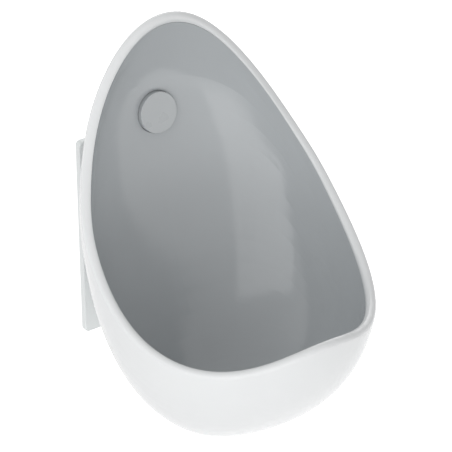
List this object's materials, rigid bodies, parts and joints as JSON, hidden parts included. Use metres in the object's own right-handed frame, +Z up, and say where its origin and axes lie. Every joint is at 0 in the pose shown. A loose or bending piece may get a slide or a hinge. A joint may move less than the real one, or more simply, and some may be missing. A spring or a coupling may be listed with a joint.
{
  "type": "wall hung urinal",
  "caption": "Wall hung child's urinal: an egg-shaped plastic bowl with a grey liner and a round release button, hung on the hooks of a flat wall plate.",
  "frame": {"origin": "centre of the wall plate's back face, on the wall", "axes": "+Y into the wall, +Z up, +X to the right for a person who faces the wall; the bowl faces -Y"},
  "size_m": [0.2323, 0.2507, 0.3075],
  "materials": {
    "shell": "gloss white",
    "liner": "gloss light grey",
    "button": "satin light grey",
    "wall_plate": "satin white",
    "bracket": "moulded white",
    "lever": "moulded grey",
    "steel": "plain steel",
    "rubber": "matt black"
  },
  "bodies": {
    "wall_mount": {"wall_plate": "wall_plate"},
    "bowl": {"outer_shell": "shell", "bowl_liner": "liner", "hanger_bracket": "bracket", "hanger_screws": "steel", "rest_pads": "rubber", "button_seal": "rubber", "pivot_pin": "steel", "catch_spring": "steel"},
    "button": {"release_button": "button", "button_clip": "steel"},
    "catch": {"catch_lever": "lever"}
  },
  "joints": [
    {"name": "bowl_lift", "type": "slide", "parent": "wall_mount", "child": "bowl", "axis": [0, 0, 1], "range_m": [0, 0.01]},
    {"name": "button_press", "type": "slide", "parent": "bowl", "child": "button", "axis": [0, 0.9803, -0.1975], "range_m": [0, 0.0025], "stiffness_N_per_m": 600, "springref_m": -0.0015},
    {"name": "catch_rock", "type": "hinge", "parent": "bowl", "child": "catch", "pos_m": [0, -0.01, 0.093], "axis": [-1, 0, 0], "range_deg": [0, 12], "deforming": ["catch_spring"]}
  ],
  "couplings": [
    {"joint": "catch_rock", "follows": "button_press", "rad_per_m": 82}
  ]
}
